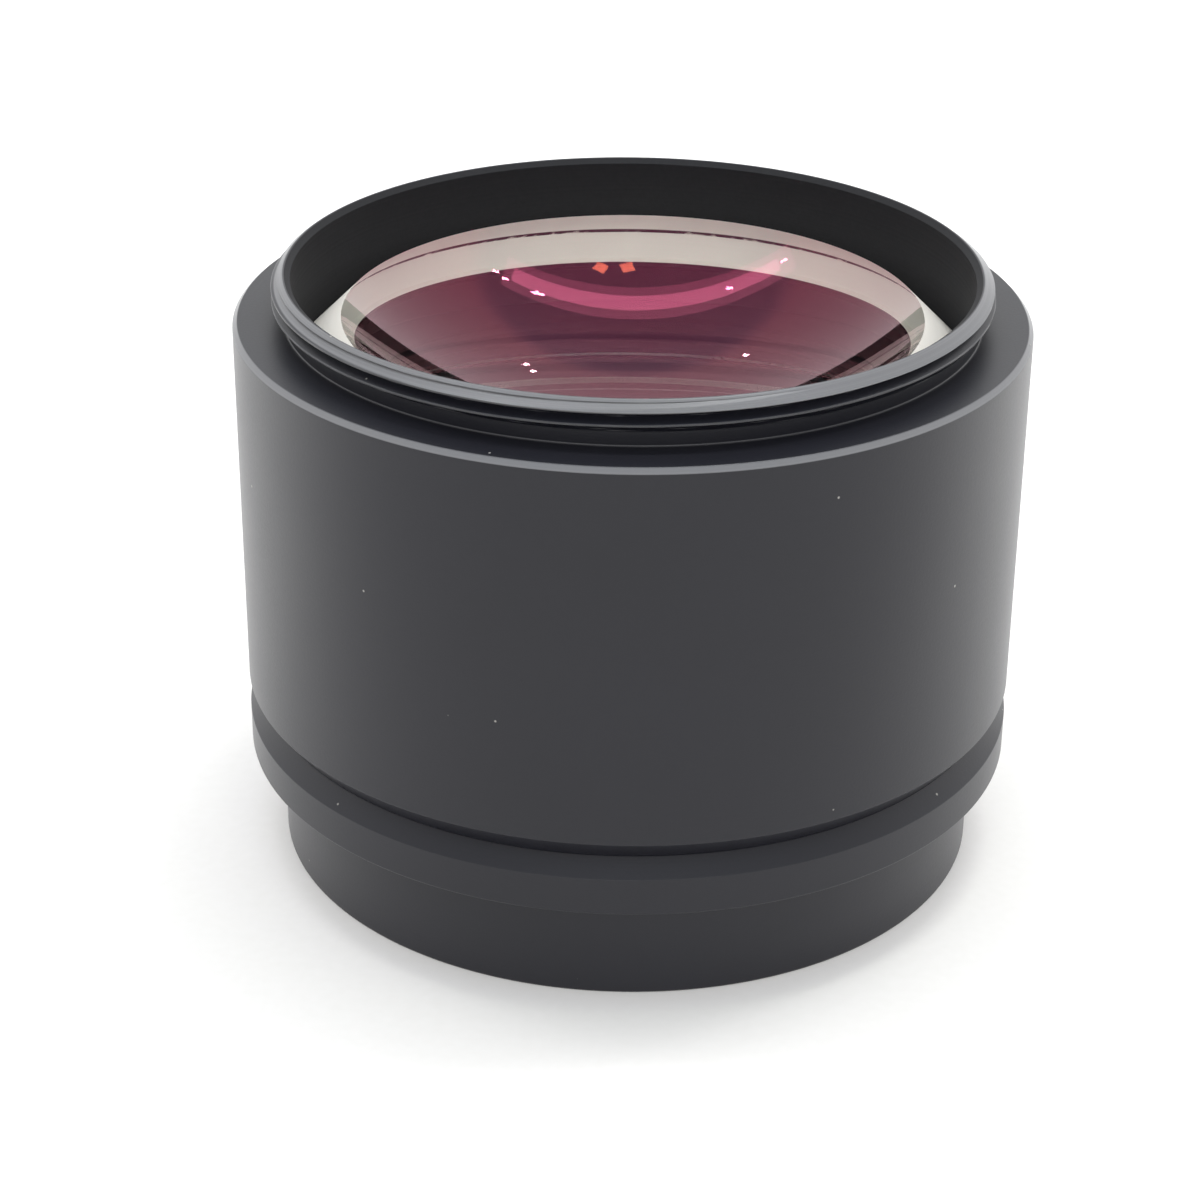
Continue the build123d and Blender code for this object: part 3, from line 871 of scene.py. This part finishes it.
# The camera fitted to the photo: its place in metres, and its right, up and back directions
CAMERA_PLACE = (0.0, -0.247045, 0.145033)
CAMERA_RIGHT = (0.99985028, 0.0151433, 0.00837242)
CAMERA_UP = (-0.01423587, 0.44483274, 0.89550052)
CAMERA_BACK = (0.00983651, -0.89548563, 0.44498172)
SENSOR_WIDTH = 36.0

# Half the width of the floor, in metres, and the two tones of its paper
FLOOR_HALF = 3.0
PAPER_TONES = ((0.79, 0.77, 0.735), (0.83, 0.81, 0.78))

# Where the floor's extra glow rises, in metres behind the middle, and the parts of a direction
# backwards and upwards where the near walls turn into the far ones and the walls into the ceiling
FAR_FLOOR = (-0.07, 0.06)
FAR_WALLS = (-0.55, 0.3)
CEILING_RIM = (0.76, 0.84)


class OBJECTIVE_OT_stage(bpy.types.Operator):
    """Lay the pale floor and set the light and the camera"""

    bl_idname = "objective.stage"
    bl_label = "Floor, light and camera"

    def execute(self, context):
        scene = context.scene
        stage = scene.objective_stage
        self.floor(stage)
        self.sky(stage)
        self.lamps(stage)
        self.camera(scene, stage)
        scene.view_settings.view_transform = "Standard"
        return {"FINISHED"}

    def lamps(self, stage):
        """Hang the long lamps, the near lamp and the small lamps that show in the glass."""
        for name, x, y, size, share in CEILING_LAMPS:
            area_lamp(name, (x, y, CEILING_Z), (x, y, 0.0), size, stage.lamp_power * share)
        area_lamp("near_lamp", NEAR_LAMP_PLACE, LAMP_AIM, NEAR_LAMP_SIZE, stage.near_power)
        for i, (x, y) in enumerate(CEILING_SPOTS):
            area_lamp("ceiling_spot_%d" % i, (x, y, CEILING_Z), LAMP_AIM, SPOT_SIZE,
                      stage.spot_power)
        for i, (x, y) in enumerate(WARM_SPOTS):
            area_lamp("warm_spot_%d" % i, (x, y, CEILING_Z), LAMP_AIM, WARM_SPOT_SIZE,
                      stage.spot_power, WARM_SPOT_COLOUR)

    def camera(self, scene, stage):
        """Set the camera at the photo's angle."""
        camera = bpy.data.cameras.new("photo_camera")
        camera.lens = stage.camera_lens
        camera.sensor_width = SENSOR_WIDTH
        camera.clip_start = 0.01
        holder = bpy.data.objects.new("photo_camera", camera)
        scene.collection.objects.link(holder)
        turn = Matrix((CAMERA_RIGHT, CAMERA_UP, CAMERA_BACK)).transposed()
        holder.matrix_world = Matrix.Translation(CAMERA_PLACE) @ turn.to_4x4()
        scene.camera = holder

    def floor(self, stage):
        """Lay a sheet of pale paper, which glows faintly by itself and more so in reflections."""
        finish = new_finish("pale_floor")
        point = finish.node("ShaderNodeTexCoord").outputs["Object"]
        fibre = finish.noise(point, 900.0, 3.0)
        colour = finish.colour_mix(fibre, *PAPER_TONES)
        paper = finish.node("ShaderNodeBsdfDiffuse", None, {"Color": colour})
        path = finish.node("ShaderNodeLightPath")
        seen = (Value(finish, path.outputs["Is Camera Ray"])
                + Value(finish, path.outputs["Is Transmission Ray"]))
        mirrored = Value(finish, path.outputs["Is Glossy Ray"])
        split = finish.node("ShaderNodeSeparateXYZ", None, {0: point})
        far = Value(finish, split.outputs[1]).ramp(*FAR_FLOOR)
        strength = (seen.math("MINIMUM", seen, 1.0) * stage.floor_glow
                    + mirrored * (far * stage.far_floor_glow + stage.floor_glow))
        glow = finish.node("ShaderNodeEmission", None, {"Color": WHITE, "Strength": strength})
        shader = finish.node("ShaderNodeAddShader", None, {0: paper.outputs[0], 1: glow.outputs[0]})
        material = finish.show(shader.outputs[0])
        corners = [(x * FLOOR_HALF, y * FLOOR_HALF, 0) for x, y in ((-1, -1), (1, -1), (1, 1), (-1, 1))]
        mesh = bpy.data.meshes.new("pale_floor")
        mesh.from_pydata(corners, [], [(0, 1, 2, 3)])
        mesh.materials.append(material)
        sheet = bpy.data.objects.new("pale_floor", mesh)
        bpy.context.scene.collection.objects.link(sheet)

    def sky(self, stage):
        """Light the room: pale walls, dimmer on the near side, under a ceiling of its own colour.

        The camera sees plain white instead.
        """
        world = bpy.data.worlds.new("soft_sky")
        bpy.context.scene.world = world
        finish = Finish(world)
        path = finish.node("ShaderNodeLightPath")
        aim = finish.node("ShaderNodeTexCoord").outputs["Generated"]
        split = finish.node("ShaderNodeSeparateXYZ", None, {0: aim})
        far = Value(finish, split.outputs[1]).ramp(*FAR_WALLS)
        high = Value(finish, split.outputs[2]).ramp(*CEILING_RIM)
        colour = finish.colour_mix(high, (1.0, 1.0, 1.0), stage.ceiling_colour)
        walls = far * (stage.wall_light - stage.near_light) + stage.near_light
        light = walls * (1 - high) + high * stage.ceiling_light
        even = finish.node("ShaderNodeBackground", None, {"Color": colour, "Strength": light})
        white = finish.node("ShaderNodeBackground", None, {"Color": WHITE, "Strength": 1.0})
        shader = finish.node("ShaderNodeMixShader", None, {
            0: path.outputs["Is Camera Ray"], 1: even.outputs[0], 2: white.outputs[0]})
        finish.show(shader.outputs[0])


STEPS = (OBJECTIVE_OT_stage, OBJECTIVE_OT_barrel, OBJECTIVE_OT_front_ring, OBJECTIVE_OT_lenses,
         OBJECTIVE_OT_spacers, OBJECTIVE_OT_kept_pieces)


class OBJECTIVE_PT_panel(bpy.types.Panel):
    """Lists the objective's pieces and settings"""

    bl_idname = "OBJECTIVE_PT_panel"
    bl_label = "Objective"
    bl_space_type = "VIEW_3D"
    bl_region_type = "UI"
    bl_category = "Objective"

    def draw(self, context):
        scene = context.scene
        for group in (scene.objective_sizes, scene.objective_finishes, scene.objective_stage):
            box = self.layout.box()
            for name in group.__annotations__:
                box.prop(group, name)
        for step in STEPS:
            self.layout.operator(step.bl_idname)


GROUPS = {
    "objective_sizes": ObjectiveSizes,
    "objective_finishes": ObjectiveFinishes,
    "objective_stage": ObjectiveStage,
}


def register():
    """Add the settings, the operators and the panel."""
    for group in GROUPS.values():
        bpy.utils.register_class(group)
    for name, group in GROUPS.items():
        setattr(bpy.types.Scene, name, PointerProperty(type=group))
    for step in (*STEPS, OBJECTIVE_PT_panel):
        bpy.utils.register_class(step)


def unregister():
    """Take the panel, the operators and the settings out again."""
    for step in (OBJECTIVE_PT_panel, *STEPS[::-1]):
        bpy.utils.unregister_class(step)
    for name, group in GROUPS.items():
        delattr(bpy.types.Scene, name)
        bpy.utils.unregister_class(group)


def main():
    """Register the settings and run every step."""
    register()
    for step in STEPS:
        group, name = step.bl_idname.split(".")
        getattr(getattr(bpy.ops, group), name)()


if __name__ == "__main__":
    main()
